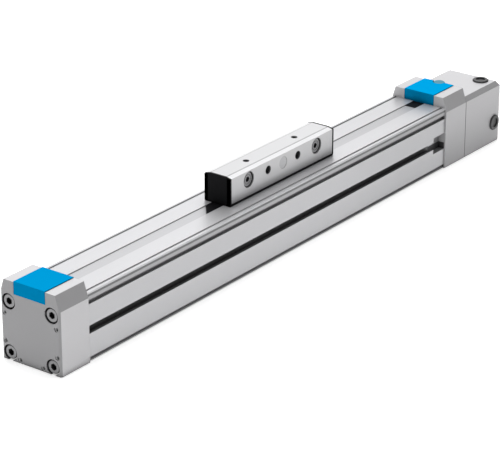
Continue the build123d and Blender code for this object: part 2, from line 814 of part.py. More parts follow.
nodes = {
    "body_profile": body_profile,
    "near_end_cap": near_end_cap,
    "far_end_cap": far_end_cap,
    "drive_housing": drive_housing,
    "near_cap_screws": lambda: corner_screws(near_face + corner_bore_depth, -1),
    "far_cap_screws": lambda: corner_screws(drive_near - corner_bore_depth, 1),
    "drive_housing_screws": drive_housing_screws,
    "top_access_plug": top_access_plug,
    "side_access_plug": side_access_plug,
    "cover_band": cover_band,
    "near_clamp_plate": lambda: clamp_plate(plate_places()[0]),
    "far_clamp_plate": lambda: clamp_plate(plate_places()[1]),
    "band_clamp_screws": band_clamp_screws,
    "near_band_cover": lambda: band_cover(near_face, profile_near, plate_places()[0]),
    "far_band_cover": far_band_cover,
    "cover_pin": cover_pin,
    "near_band_insert": lambda: band_insert(profile_near, profile_near + insert_length),
    "far_band_insert": lambda: band_insert(profile_far - insert_length, profile_far),
    "guide_rail": guide_rail,
    "near_bumper": lambda: bumper(profile_near, 1),
    "far_bumper": lambda: bumper(profile_far, -1),
    "float_bearing_outer_ring": lambda: bearing_outer(float_journal_r, float_outer_r, float_place, float_width),
    "float_bearing_inner_ring": lambda: bearing_inner(float_journal_r, float_outer_r, float_place, float_width),
    "fixed_bearing_outer_rings": lambda: fixed_bearings(bearing_outer),
    "fixed_bearing_inner_rings": lambda: fixed_bearings(bearing_inner),
    "slide_body": slide_body,
    "near_slide_end_plate": lambda: slide_end_plate(-1),
    "far_slide_end_plate": lambda: slide_end_plate(1),
    "slide_strips": slide_strips,
    "slide_clamp_screws": slide_clamp_screws,
    "slide_locating_discs": slide_locating_discs,
    "inner_carriage": inner_carriage,
    "guide_cassettes": guide_cassettes,
    "near_guide_wiper": lambda: guide_wiper(-1),
    "far_guide_wiper": lambda: guide_wiper(1),
    "ball_nut": ball_nut,
    "nut_screws": nut_screws,
    "ball_screw": ball_screw,
    "lock_nut": lock_nut,
    "screw_coupling_hub": lambda: coupling_hub(hub_near, spider_near, journal_end_r + seat,
                                               (spider_near, spider_far - 0.3), 0, hub_near + hub_length / 2),
    "coupling_spider": coupling_spider,
    "hub_clamp_screws": hub_clamp_screws,
    "motor_coupling_hub": lambda: coupling_hub(spider_far, motor_hub_far, motor_bore_r,
                                               (spider_near + 0.3, spider_far), 60, drive_far - plug_setback),
}

for name, make in nodes.items():
    save(name, make())
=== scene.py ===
from collections import namedtuple
from functools import reduce
from math import cos, pi, sin

import bmesh
import bpy
from bpy.props import FloatProperty, FloatVectorProperty, PointerProperty
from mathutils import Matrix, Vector


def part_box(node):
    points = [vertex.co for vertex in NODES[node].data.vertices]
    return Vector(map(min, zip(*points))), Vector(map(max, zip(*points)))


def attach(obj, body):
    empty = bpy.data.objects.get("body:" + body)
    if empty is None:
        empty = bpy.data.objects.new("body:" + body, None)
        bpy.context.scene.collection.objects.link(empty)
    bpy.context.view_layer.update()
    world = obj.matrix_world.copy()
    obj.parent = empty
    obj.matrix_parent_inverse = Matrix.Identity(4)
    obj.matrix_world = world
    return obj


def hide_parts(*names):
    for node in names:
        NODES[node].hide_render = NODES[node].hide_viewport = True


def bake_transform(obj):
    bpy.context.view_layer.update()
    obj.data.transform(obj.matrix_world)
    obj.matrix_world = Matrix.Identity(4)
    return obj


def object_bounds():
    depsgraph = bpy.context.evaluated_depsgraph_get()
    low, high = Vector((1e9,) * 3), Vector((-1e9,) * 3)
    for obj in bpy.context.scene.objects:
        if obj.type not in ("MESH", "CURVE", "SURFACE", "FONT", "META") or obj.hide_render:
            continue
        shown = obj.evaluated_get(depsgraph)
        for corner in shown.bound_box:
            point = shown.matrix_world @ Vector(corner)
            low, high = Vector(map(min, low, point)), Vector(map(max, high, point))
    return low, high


bl_info = {
    "name": "Ball screw linear axis",
    "version": (1, 0, 0),
    "blender": (4, 5, 0),
    "location": "View3D > Sidebar > Linear axis",
    "description": "Finishes and fine pieces of a compact linear axis, laid over its fixed frame",
    "category": "Object",
}

# Lengths are in metres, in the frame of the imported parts: X along the axis from the near end cap
# to the motor face, Y across it, Z up from the feet of the end caps.
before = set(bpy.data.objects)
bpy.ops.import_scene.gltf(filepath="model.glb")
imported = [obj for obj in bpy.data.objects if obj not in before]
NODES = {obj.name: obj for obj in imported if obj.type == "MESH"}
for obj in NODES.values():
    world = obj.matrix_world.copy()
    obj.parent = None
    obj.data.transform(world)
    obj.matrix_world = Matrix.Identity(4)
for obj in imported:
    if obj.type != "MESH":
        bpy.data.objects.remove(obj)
CAD_LOW, CAD_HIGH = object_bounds()
MM = 0.001
MICRON = 1e-6
BEYOND = 1.0  # further out than any surface of the axis

PROFILE_LOW, PROFILE_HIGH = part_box("body_profile")
PROFILE_TOP = PROFILE_HIGH.z
NEAR_CAP_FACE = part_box("near_end_cap")[0].x
FAR_CAP_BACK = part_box("far_end_cap")[1].x
SLIDE_LOW, SLIDE_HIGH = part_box("slide_body")
SLIDE_MIDDLE = (SLIDE_LOW.x + SLIDE_HIGH.x) / 2
BAND_LOW, BAND_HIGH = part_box("cover_band")
END_PLATE_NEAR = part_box("near_slide_end_plate")[0].x
END_PLATE_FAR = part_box("far_slide_end_plate")[1].x


class AxisSizes(bpy.types.PropertyGroup):
    """Sizes of the pieces that are modelled here, in metres."""

    band_thickness: FloatProperty(
        name="Band thickness", description="Thickness of the steel cover band",
        default=0.3 * MM, min=0.05 * MM, precision=5, subtype="DISTANCE", unit="LENGTH",
    )
    band_ramp: FloatProperty(
        name="Band ramp", description="Length of the band's rise inside the slide",
        default=16.0 * MM, min=5 * MM, subtype="DISTANCE", unit="LENGTH",
    )
    neck_length: FloatProperty(
        name="Neck length", description="Length of the raised stretch of the band",
        default=72.0 * MM, min=10 * MM, subtype="DISTANCE", unit="LENGTH",
    )
    wiper_long_side: FloatProperty(
        name="Wiper, long side", description="Reach of a band wiper along its longer edge",
        default=16.5 * MM, min=1 * MM, subtype="DISTANCE", unit="LENGTH",
    )
    wiper_short_side: FloatProperty(
        name="Wiper, short side", description="Reach of a band wiper along its shorter edge",
        default=6.0 * MM, min=1 * MM, subtype="DISTANCE", unit="LENGTH",
    )
    rib_rise: FloatProperty(
        name="Rib height", description="How far the ribs stand out from the slide's end plates",
        default=0.4 * MM, min=0.05 * MM, precision=5, subtype="DISTANCE", unit="LENGTH",
    )
    edge_radius: FloatProperty(
        name="Edge softness",
        description="Radius that milled and moulded edges appear rounded by",
        default=0.25 * MM, min=0.0, precision=5, subtype="DISTANCE", unit="LENGTH",
    )
    # Reach of the painted shade that ambient occlusion puts into the base colour of gaps.
    shade_reach: FloatProperty(
        name="Shade reach",
        description="How far apart the walls of a gap may lie and still darken it",
        default=6.0 * MM, min=0.5 * MM, subtype="DISTANCE", unit="LENGTH",
    )


class AxisColours(bpy.types.PropertyGroup):
    """Colours of the finishes, as linear RGB."""

    profile: FloatVectorProperty(
        name="Profile", description="Clear anodised extrusion", subtype="COLOR", size=3,
        default=(0.62, 0.62, 0.635), min=0.0, max=1.0,
    )
    caps: FloatVectorProperty(
        name="Caps", description="Milled end caps and housing", subtype="COLOR", size=3,
        default=(0.66, 0.655, 0.67), min=0.0, max=1.0,
    )
    slide: FloatVectorProperty(
        name="Slide", description="Milled slide", subtype="COLOR", size=3,
        default=(0.64, 0.64, 0.65), min=0.0, max=1.0,
    )
    threads: FloatVectorProperty(
        name="Threads", description="Threads in the caps and the motor face", subtype="COLOR",
        size=3, default=(0.62, 0.62, 0.63), min=0.0, max=1.0,
    )
    # Painted shade: the threads in the slide's holes are dark to stand for the shade inside them.
    shade_dark_threads: FloatVectorProperty(
        name="Deep threads", description="Threads in the slide's dark holes", subtype="COLOR",
        size=3, default=(0.05, 0.05, 0.052), min=0.0, max=1.0,
    )
    covers: FloatVectorProperty(
        name="Band covers", description="Moulded covers over the band ends", subtype="COLOR",
        size=3, default=(0.0, 0.33, 0.69), min=0.0, max=1.0,
    )
    black: FloatVectorProperty(
        name="Black plastic", description="End plates, strips and inserts", subtype="COLOR",
        size=3, default=(0.008, 0.008, 0.009), min=0.0, max=1.0,
    )
    plugs: FloatVectorProperty(
        name="Plugs", description="Plugs of the drive housing", subtype="COLOR", size=3,
        default=(0.025, 0.025, 0.027), min=0.0, max=1.0,
    )
    wipers: FloatVectorProperty(
        name="Wipers", description="Rubber wipers on the band", subtype="COLOR", size=3,
        default=(0.006, 0.006, 0.007), min=0.0, max=1.0,
    )
    ribs: FloatVectorProperty(
        name="Ribs", description="Ribs on the slide's end plates", subtype="COLOR", size=3,
        default=(0.0085, 0.0085, 0.0095), min=0.0, max=1.0,
    )
    spider: FloatVectorProperty(
        name="Spider", description="Elastic spider of the coupling", subtype="COLOR", size=3,
        default=(0.45, 0.05, 0.04), min=0.0, max=1.0,
    )
    steel: FloatVectorProperty(
        name="Screws", description="Plated screws", subtype="COLOR", size=3,
        default=(0.24, 0.24, 0.245), min=0.0, max=1.0,
    )
    discs: FloatVectorProperty(
        name="Discs", description="Locating discs and clamp plates", subtype="COLOR", size=3,
        default=(0.42, 0.42, 0.43), min=0.0, max=1.0,
    )
    hard_steel: FloatVectorProperty(
        name="Hardened steel", description="Rail, screw, nut and bearings", subtype="COLOR",
        size=3, default=(0.5, 0.5, 0.52), min=0.0, max=1.0,
    )
    # Painted shade and painted reflection: the pin's dark teal stands for the shade in the notch
    # and the blue cover reflected in it.
    pin: FloatVectorProperty(
        name="Pin", description="Pin in the notch of the far cover", subtype="COLOR", size=3,
        default=(0.085, 0.29, 0.38), min=0.0, max=1.0,
    )
    band: FloatVectorProperty(
        name="Band", description="Polished steel cover band", subtype="COLOR", size=3,
        default=(0.52, 0.52, 0.535), min=0.0, max=1.0,
    )


# Finishes
# Grain: how often it changes in a metre along X, Y and Z. Drawn and ground metal has it lengthwise.
DRAWN_GRAIN = (25, 3200, 3200)
SLIDE_GRAIN = (40, 2800, 2800)
BAND_GRAIN = (60, 2600, 2600)
GROUND_GRAIN = (60, 3000, 3000)
EVEN_GRAIN = (1500, 1500, 1500)
COVER_GRAIN = (2200, 2200, 2200)
THREAD_GRAIN = (2500, 2500, 2500)
MOULDED_GRAIN = (2600, 2600, 2600)
TURNED_GRAIN = (3000, 3000, 3000)
GRAIN_DETAIL = 3.0
PATCHES_PER_METRE = 45.0
PATCH_DETAIL = 4.0
LEAST_ROUGHNESS = 0.02

NOOK_SAMPLES = 6
EDGE_SAMPLES = 4
SHADE_BOX_EDGE = 0.1 * MM  # over which the painted shade of a box begins

# How squarely a face has to look along or across the axis to count as one of these, for the painted
# light and shade of its faces: not at all at the first number, wholly from the second on.
END_FACE = (0.8, 0.95)
LEANING_FACE = (0.1, 0.2)
SIDE_FACE = (0.965, 0.99)
LOW_SIDE_FACE = (0.9, 0.98)

# A box of painted shade on a finish: its ends along X, its distances from the middle plane, its
# heights, and the share of light that is left in it.
ShadeBox = namedtuple("ShadeBox", "start end inner outer low high left")


def math_node(tree, kind, first, second):
    """One Math node; first and second are sockets or numbers."""
    node = tree.nodes.new("ShaderNodeMath")
    node.operation = kind
    for socket, value in zip(node.inputs, (first, second)):
        if isinstance(value, (int, float)):
            socket.default_value = value
        else:
            tree.links.new(value, socket)
    return node.outputs["Value"]


def ramp(tree, value, low, high, out_low, out_high):
    """A smooth change from out_low to out_high while value goes from low to high."""
    node = tree.nodes.new("ShaderNodeMapRange")
    node.interpolation_type = "SMOOTHSTEP"
    limits = {"From Min": low, "From Max": high, "To Min": out_low, "To Max": out_high}
    for name, number in limits.items():
        node.inputs[name].default_value = number
    tree.links.new(value, node.inputs["Value"])
    return node.outputs["Result"]


def dim(tree, light, value, low, high, left):
    """The light, lowered to the share left where value has gone from low to high."""
    return math_node(tree, "MULTIPLY", light, ramp(tree, value, low, high, 1, left))


def split(tree, vector):
    """The X, Y and Z of a vector socket."""
    node = tree.nodes.new("ShaderNodeSeparateXYZ")
    tree.links.new(vector, node.inputs["Vector"])
    return node.outputs["X"], node.outputs["Y"], node.outputs["Z"]


def noise(tree, vector, scale, detail):
    """A noise between 0 and 1."""
    node = tree.nodes.new("ShaderNodeTexNoise")
    node.inputs["Scale"].default_value = scale
    node.inputs["Detail"].default_value = detail
    tree.links.new(vector, node.inputs["Vector"])
    return node.outputs["Fac"]


def painted_box_light(tree, place, hollows):
    """The share of light that the boxes of painted shade leave at each place; the two sides are
    alike.
    """
    x, y, z = split(tree, place)
    y = math_node(tree, "ABSOLUTE", y, 0.0)
    light = None
    for hollow in hollows:
        walls = [
            ramp(tree, value, wall - SHADE_BOX_EDGE, wall + SHADE_BOX_EDGE, before, after)
            for value, low, high in (
                (x, hollow.start, hollow.end),
                (z, hollow.low, hollow.high),
                (y, hollow.inner, hollow.outer),
            )
            for wall, before, after in ((low, 0, 1), (high, 1, 0))
        ]
        inside = reduce(lambda one, other: math_node(tree, "MULTIPLY", one, other), walls)
        left = ramp(tree, inside, 0, 1, 1, hollow.left)
        light = left if light is None else math_node(tree, "MINIMUM", light, left)
    return light


def light_left(tree, place, shade=(0.3, 0.85), dark=0.02, hollows=(), ends=1.0, flanks=1.0,
               sides=1.0, along_fade=None, low_side=None):
    """The share of its full colour that a surface shows at each place: painted light and shade.

    shade = (from, to): how open a place is where its painted shade ends; dark is what the
    deepest gaps keep. hollows hold boxes of painted shade. ends, flanks and sides are the
    painted shares of faces that look along the axis, that lean outwards, and that stand upright
    beside it. along_fade = (from x, to x, share) paints light and shade along the axis,
    and low_side = (low, high, share) paints shade at the foot of upright sides.
    """
    # Painted shade in gaps and corners: ambient occlusion darkens the base colour.
    nook = tree.nodes.new("ShaderNodeAmbientOcclusion")
    nook.samples = NOOK_SAMPLES
    nook.inputs["Distance"].default_value = bpy.context.scene.axis_sizes.shade_reach
    light = ramp(tree, nook.outputs["AO"], *shade, dark, 1)
    if hollows:
        in_hollows = painted_box_light(tree, place.outputs["Object"], hollows)
        light = math_node(tree, "MULTIPLY", light, in_hollows)
    along, across, _ = split(tree, place.outputs["Normal"])
    across = math_node(tree, "ABSOLUTE", across, 0.0)
    if ends != 1.0:
        light = dim(tree, light, math_node(tree, "ABSOLUTE", along, 0.0), *END_FACE, ends)
    if flanks != 1.0:
        leaning = math_node(tree, "MULTIPLY", ramp(tree, across, *LEANING_FACE, 0, 1),
                            ramp(tree, across, *SIDE_FACE, 1, 0))
        light = dim(tree, light, leaning, 0, 1, flanks)
    if sides != 1.0:
        light = dim(tree, light, across, *SIDE_FACE, sides)
    if along_fade or low_side:
        forward, _, height = split(tree, place.outputs["Object"])
    if along_fade:
        light = dim(tree, light, forward, *along_fade)
    if low_side:
        low, high, share = low_side
        lost = math_node(tree, "MULTIPLY", ramp(tree, height, low, high, 1 - share, 0),
                         ramp(tree, across, *LOW_SIDE_FACE, 0, 1))
        light = math_node(tree, "MULTIPLY", light, math_node(tree, "SUBTRACT", 1.0, lost))
    return light


def finish(name, colour, metallic, roughness, grain, bump, patch=0.05, uneven=0.06, shine=0.5,
           eased=True, **shading):
    """A procedural finish: a fine grain, uneven gloss, faint patches, painted light and shade, and
    soft edges.

    bump is the height of the grain in metres, patch and uneven are how far colour and roughness
    stray from their means, and shading goes to light_left.
    """
    material = bpy.data.materials.new(name)
    material.use_nodes = True
    tree = material.node_tree
    shader = tree.nodes["Principled BSDF"]
    shader.inputs["Metallic"].default_value = metallic
    shader.inputs["Specular IOR Level"].default_value = shine

    place = tree.nodes.new("ShaderNodeTexCoord")
    lay = tree.nodes.new("ShaderNodeMapping")
    lay.inputs["Scale"].default_value = grain
    tree.links.new(place.outputs["Object"], lay.inputs["Vector"])
    fine = noise(tree, lay.outputs["Vector"], 1.0, GRAIN_DETAIL)
    broad = noise(tree, place.outputs["Object"], PATCHES_PER_METRE, PATCH_DETAIL)

    tint = tree.nodes.new("ShaderNodeMix")
    tint.data_type = "RGBA"
    tint.inputs["A"].default_value = (*[c * (1 - patch) for c in colour], 1)
    tint.inputs["B"].default_value = (*[min(c * (1 + patch), 1) for c in colour], 1)
    tree.links.new(broad, tint.inputs["Factor"])
    shaded = tree.nodes.new("ShaderNodeVectorMath")
    shaded.operation = "SCALE"
    tree.links.new(tint.outputs["Result"], shaded.inputs["Vector"])
    tree.links.new(light_left(tree, place, **shading), shaded.inputs["Scale"])
    tree.links.new(shaded.outputs["Vector"], shader.inputs["Base Color"])

    gloss = tree.nodes.new("ShaderNodeMapRange")
    gloss.inputs["To Min"].default_value = max(roughness - uneven, LEAST_ROUGHNESS)
    gloss.inputs["To Max"].default_value = roughness + uneven
    tree.links.new(fine, gloss.inputs["Value"])
    tree.links.new(gloss.outputs["Result"], shader.inputs["Roughness"])

    relief = tree.nodes.new("ShaderNodeBump")
    relief.inputs["Strength"].default_value = 1.0
    relief.inputs["Distance"].default_value = bump
    tree.links.new(fine, relief.inputs["Height"])
    if eased:
        soft = tree.nodes.new("ShaderNodeBevel")
        soft.samples = EDGE_SAMPLES
        soft.inputs["Radius"].default_value = bpy.context.scene.axis_sizes.edge_radius
        tree.links.new(soft.outputs["Normal"], relief.inputs["Normal"])
    tree.links.new(relief.outputs["Normal"], shader.inputs["Normal"])
    return material


def paint(material, *names):
    """Gives CAD nodes or pieces a finish in all their material slots."""
    for name in names:
        piece = NODES[name] if name in NODES else bpy.data.objects[name]
        if not piece.material_slots:
            piece.data.materials.append(material)
        for slot in piece.material_slots:
            slot.material = material


# Meshes
def link_mesh(name, mesh_maker):
    """A new object whose mesh is filled by mesh_maker."""
    mesh = bpy.data.meshes.new(name)
    work = bmesh.new()
    mesh_maker(work)
    bmesh.ops.recalc_face_normals(work, faces=work.faces)
    work.to_mesh(mesh)
    work.free()
    piece = bpy.data.objects.new(name, mesh)
    bpy.context.scene.collection.objects.link(piece)
    return piece


def bridge(work, rings):
    """Joins neighbouring rings of points by faces and closes the two ends."""
    loops = [[work.verts.new(p) for p in ring] for ring in rings]
    count = len(loops[0])
    for a, b in zip(loops, loops[1:]):
        for i in range(count):
            work.faces.new((a[i], a[(i + 1) % count], b[(i + 1) % count], b[i]))
    work.faces.new(loops[0])
    work.faces.new(reversed(loops[-1]))


# Stage
CAMERA_PLACE = (-1.1643, -0.8562, 0.6284)
CAMERA_AHEAD = (0.7342, 0.5527, -0.3943)  # the way it looks
CAMERA_LENS = 176.5  # millimetres, as the sensor
SENSOR_WIDTH = 36
VIEW_END = 50  # metres
FLOOR_REACH = 6.0
FLOOR_GAP = 0.2 * MM
FLOOR_COLOUR = (0.94, 0.94, 0.94, 1)
FLOOR_ROUGHNESS = 0.9
FLOOR_GLOW = 0.4
WORLD_STRENGTH = 0.15
WHITE = (1, 1, 1, 1)
LAMPS = (  # name, place, size, watts, whether it shows as gloss only
    ("overhead", (0.1, 0.3, 2.0), (3.0, 3.0), 58, False),
    ("right_side", (0.6, -1.8, 0.7), (2.0, 1.2), 3, False),
    ("back", (1.7, 1.3, 0.8), (2.4, 1.2), 12, False),
    ("front_gloss", (-1.7, -1.3, 0.8), (2.4, 1.2), 12, True),
    ("left_gloss", (-1.3, 1.7, 0.8), (2.4, 1.2), 10, True),
    ("right_gloss", (1.3, -1.7, 0.8), (2.4, 1.2), 5, True),
)


def facing(direction):
    """The rotation of a lamp or camera that looks in a direction."""
    return direction.to_track_quat("-Z", "Y").to_euler()


def soft_light(name, place, size, watts, gloss_only):
    """A rectangular lamp that looks at the middle of the frame."""
    data = bpy.data.lights.new(name, "AREA")
    data.shape = "RECTANGLE"
    data.size, data.size_y = size
    data.energy = watts
    lamp = bpy.data.objects.new(name, data)
    bpy.context.scene.collection.objects.link(lamp)
    lamp.location = place
    lamp.rotation_euler = facing(-Vector(place))
    lamp.visible_diffuse = not gloss_only
    lamp.visible_camera = not gloss_only


class AXIS_OT_stage(bpy.types.Operator):
    """Sets up the pale floor, the soft lights and the camera"""

    bl_idname = "axis.stage"
    bl_label = "Stage"

    def execute(self, context):
        scene = context.scene
        scene.view_settings.view_transform = "Standard"

        low = CAD_LOW.z - FLOOR_GAP
        corners = [(x * FLOOR_REACH, y * FLOOR_REACH, low)
                   for x, y in ((-1, -1), (1, -1), (1, 1), (-1, 1))]
        mesh = bpy.data.meshes.new("floor")
        mesh.from_pydata(corners, [], [(0, 1, 2, 3)])
        floor = bpy.data.objects.new("floor", mesh)
        scene.collection.objects.link(floor)
        pale = bpy.data.materials.new("pale floor")
        pale.use_nodes = True
        shader = pale.node_tree.nodes["Principled BSDF"]
        shader.inputs["Base Color"].default_value = FLOOR_COLOUR
        shader.inputs["Roughness"].default_value = FLOOR_ROUGHNESS
        shader.inputs["Emission Color"].default_value = WHITE
        shader.inputs["Emission Strength"].default_value = FLOOR_GLOW
        floor.data.materials.append(pale)

        world = bpy.data.worlds.new("studio")
        scene.world = world
        world.use_nodes = True
        background = world.node_tree.nodes["Background"]
        background.inputs["Color"].default_value = WHITE
        background.inputs["Strength"].default_value = WORLD_STRENGTH
        for lamp in LAMPS:
            soft_light(*lamp)

        data = bpy.data.cameras.new("camera")
        data.lens = CAMERA_LENS
        data.sensor_width = SENSOR_WIDTH
        data.clip_end = VIEW_END
        camera = bpy.data.objects.new("camera", data)
        scene.collection.objects.link(camera)
        camera.location = CAMERA_PLACE
        camera.rotation_euler = facing(Vector(CAMERA_AHEAD))
        scene.camera = camera
        return {"FINISHED"}


# Aluminium
# Levels of the profile's side that bound its painted shade, from the foot up
FOOT_LIP = (-1 * MM, 1.25 * MM)
FOOT_GROOVE = (1.2 * MM, 2.8 * MM)
NUT_SLOT = (15.8 * MM, 24.2 * MM)
POCKET_FLOOR = (14.2 * MM, 18.6 * MM)
POCKET_WALL = (18.6 * MM, 26.0 * MM)
UPPER_PANEL = (24.2 * MM, PROFILE_TOP - 7.4 * MM)
SEAM = (PROFILE_TOP - 7.3 * MM, PROFILE_TOP - 4.7 * MM)
LEDGE_FACE = (PROFILE_TOP - 4.58 * MM, PROFILE_TOP - 2.4 * MM)
RIDGE_FACE = (PROFILE_TOP - 2.4 * MM, PROFILE_TOP - 0.9 * MM)
STEP_FLOOR = (PROFILE_TOP - 0.8 * MM, PROFILE_TOP - 0.5 * MM)
SKIN = 0.15 * MM  # depth from which a place of the side counts as inside a groove for the painted shade
STEP_INNER, STEP_OUTER = 3.8 * MM, 1.9 * MM  # edges of the painted shade on the step beside the ridge, from the skin
PAST_END = 1 * MM  # how far a box of painted shade reaches past the profile's end
POCKET_LENGTH = 13.5 * MM
POCKET_EDGE = 0.2 * MM
POCKET_LIT_LENGTH = 5 * MM  # first part of the pocket, whose upper wall stays light

LEDGE_TOP = PROFILE_TOP - 1.75 * MM
LEDGE_DEPTH = 1.45 * MM
LEDGE_CHAMFER = (0.86 * MM, 0.4 * MM)  # across and down

# Painted shade: a dark band where the far end cap meets the housing
JOINT_LOW, JOINT_HIGH = FAR_CAP_BACK - 0.1 * MM, FAR_CAP_BACK + 0.5 * MM
BEVEL_SHADE_LINE = (5.9 * MM, 6.7 * MM)  # distances of the painted dark line along the slide's bevel edge from its middle plane
BEVEL_SHADE_LEVELS = (SLIDE_HIGH.z - 0.8 * MM, SLIDE_HIGH.z + 1 * MM)
LOW_SLIDE = 6 * MM  # height of the painted shade at the foot of the slide and of the housing
LOW_HOUSING = 40 * MM
FAR_END_SHADE = 0.91  # painted shade: the far end cap and housing, darker than the near cap


def profile_hollows():
    """Boxes of painted shade: the profile's grooves, and the faces that lie in the shade of its
    ridges.
    """
    side = PROFILE_HIGH.y - SKIN
    near, far = PROFILE_LOW.x - PAST_END, PROFILE_HIGH.x
    pocket, behind = far - POCKET_LENGTH, far + PAST_END
    return (
        ShadeBox(near, pocket, 0, side, *NUT_SLOT, left=0.3),
        ShadeBox(pocket - POCKET_EDGE, behind, 0, side, *POCKET_FLOOR, left=0.12),
        ShadeBox(pocket + POCKET_LIT_LENGTH, behind, 0, side, *POCKET_WALL, left=0.55),
        ShadeBox(near, far, 0, side, *SEAM, left=0.4),
        ShadeBox(near, far, 0, side, *FOOT_GROOVE, left=0.5),
        ShadeBox(near, far, side, BEYOND, *FOOT_LIP, left=0.3),
        ShadeBox(near, far, side, BEYOND, *UPPER_PANEL, left=0.95),
        ShadeBox(near, far, side, BEYOND, *RIDGE_FACE, left=0.33),
        ShadeBox(near, far, side, BEYOND, *LEDGE_FACE, left=0.7),
        ShadeBox(near, far, side - STEP_INNER, side - STEP_OUTER, *STEP_FLOOR, left=0.85),
    )


class AXIS_OT_aluminium(bpy.types.Operator):
    """Finishes the extruded profile, the milled end caps and housing, and the slide"""

    bl_idname = "axis.aluminium"
    bl_label = "Aluminium"

    def execute(self, context):
        colours = context.scene.axis_colours
        # Painted shade in the profile's grooves and on the faces under its ridges.
        grooves = profile_hollows()
        slot_and_pocket = grooves[:2]
        # Painted shade: a dark band where the far end cap meets the housing, and a dark line along
        # the slide's bevel edge.
        joint = ShadeBox(JOINT_LOW, JOINT_HIGH, -BEYOND, BEYOND, -BEYOND, BEYOND, left=0.3)
        bevel_line_shade = ShadeBox(SLIDE_LOW.x, SLIDE_HIGH.x, *BEVEL_SHADE_LINE, *BEVEL_SHADE_LEVELS, left=0.5)
        # Painted shade: darker upright sides, darker towards the far end, and dark grooves and
        # ridge faces.
        drawn = finish(
            "anodised extrusion", colours.profile, metallic=0.55, roughness=0.40,
            grain=DRAWN_GRAIN, bump=1.5 * MICRON, patch=0.02,
            shade=(0.05, 0.5), dark=0.12, hollows=grooves, sides=0.83,
            along_fade=(0.0, PROFILE_HIGH.x, 0.88),
        )
        # Painted shade: darker end faces, leaning faces and upright sides.
        milled = finish(
            "anodised caps", colours.caps, metallic=0.25, roughness=0.50,
            grain=EVEN_GRAIN, bump=2.0 * MICRON, patch=0.02,
            ends=0.495, flanks=0.45, sides=0.84,
        )
        # A painted-shade copy of the caps' finish: darker overall, with dark slot and pocket, and
        # darker towards the foot of the housing.
        far_end_shaded = finish(
            "anodised far end", [FAR_END_SHADE * c for c in colours.caps],
            metallic=0.25, roughness=0.50,
            grain=EVEN_GRAIN, bump=2.0 * MICRON, patch=0.02,
            shade=(0.1, 0.6), hollows=(*slot_and_pocket, joint),
            ends=0.92, flanks=0.5, sides=0.76, low_side=(0.0, LOW_HOUSING, 0.72),
        )
        # Painted light and shade: a painted highlight on the bevels, darker upright sides, and
        # darker towards the foot.
        slide = finish(
            "anodised slide", colours.slide, metallic=0.35, roughness=0.42,
            grain=SLIDE_GRAIN, bump=1.5 * MICRON, patch=0.02,
            hollows=(bevel_line_shade,), flanks=1.25, sides=0.86,
            low_side=(SLIDE_LOW.z, SLIDE_LOW.z + LOW_SLIDE, 0.6),
        )

        def ledges(work):
            outer, low = PROFILE_HIGH.y, LEDGE_FACE[0]
            across, down = LEDGE_CHAMFER
            outline = ((outer - LEDGE_DEPTH, low), (outer, low), (outer, LEDGE_TOP),
                       (outer - across, LEDGE_TOP - down))
            for sign in (-1, 1):
                bridge(work, [[(x, sign * y, z) for y, z in outline]
                              for x in (PROFILE_LOW.x, PROFILE_HIGH.x)])

        piece = link_mesh("profile_side_ledges", ledges)
        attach(piece, "root")
        paint(drawn, "body_profile", "profile_side_ledges")
        paint(milled, "near_end_cap", "inner_carriage", "screw_coupling_hub",
              "motor_coupling_hub")
        paint(far_end_shaded, "far_end_cap", "drive_housing")
        paint(slide, "slide_body")
        return {"FINISHED"}


# Plastics
class AXIS_OT_plastics(bpy.types.Operator):
    """Finishes the coloured band covers and the black plastic and rubber pieces"""

    bl_idname = "axis.plastics"
    bl_label = "Plastics"

    def execute(self, context):
        colours = context.scene.axis_colours
        # Painted light and shade: lighter towards the far end, and darker end faces.
        cover = finish(
            "blue moulding", colours.covers, metallic=0.0, roughness=0.42,
            grain=COVER_GRAIN, bump=3 * MICRON, patch=0.03, shine=0.0,
            ends=0.76, along_fade=(0.0, PROFILE_HIGH.x, 1.1),
        )
        black = finish(
            "black moulding", colours.black, metallic=0.0, roughness=0.5,
            grain=MOULDED_GRAIN, bump=4 * MICRON, patch=0.1, shine=0.05,
        )
        plugs = finish(
            "black plugs", colours.plugs, metallic=0.0, roughness=0.4,
            grain=MOULDED_GRAIN, bump=4 * MICRON, patch=0.1,
        )
        spider = finish(
            "cast spider", colours.spider, metallic=0.0, roughness=0.5,
            grain=EVEN_GRAIN, bump=4 * MICRON,
        )
        paint(cover, "near_band_cover", "far_band_cover")
        paint(plugs, "top_access_plug", "side_access_plug")
        paint(black, "near_band_insert", "far_band_insert", "near_slide_end_plate",
              "far_slide_end_plate", "slide_strips", "guide_cassettes", "near_guide_wiper",
              "far_guide_wiper", "near_bumper", "far_bumper")
        paint(spider, "coupling_spider")
        return {"FINISHED"}


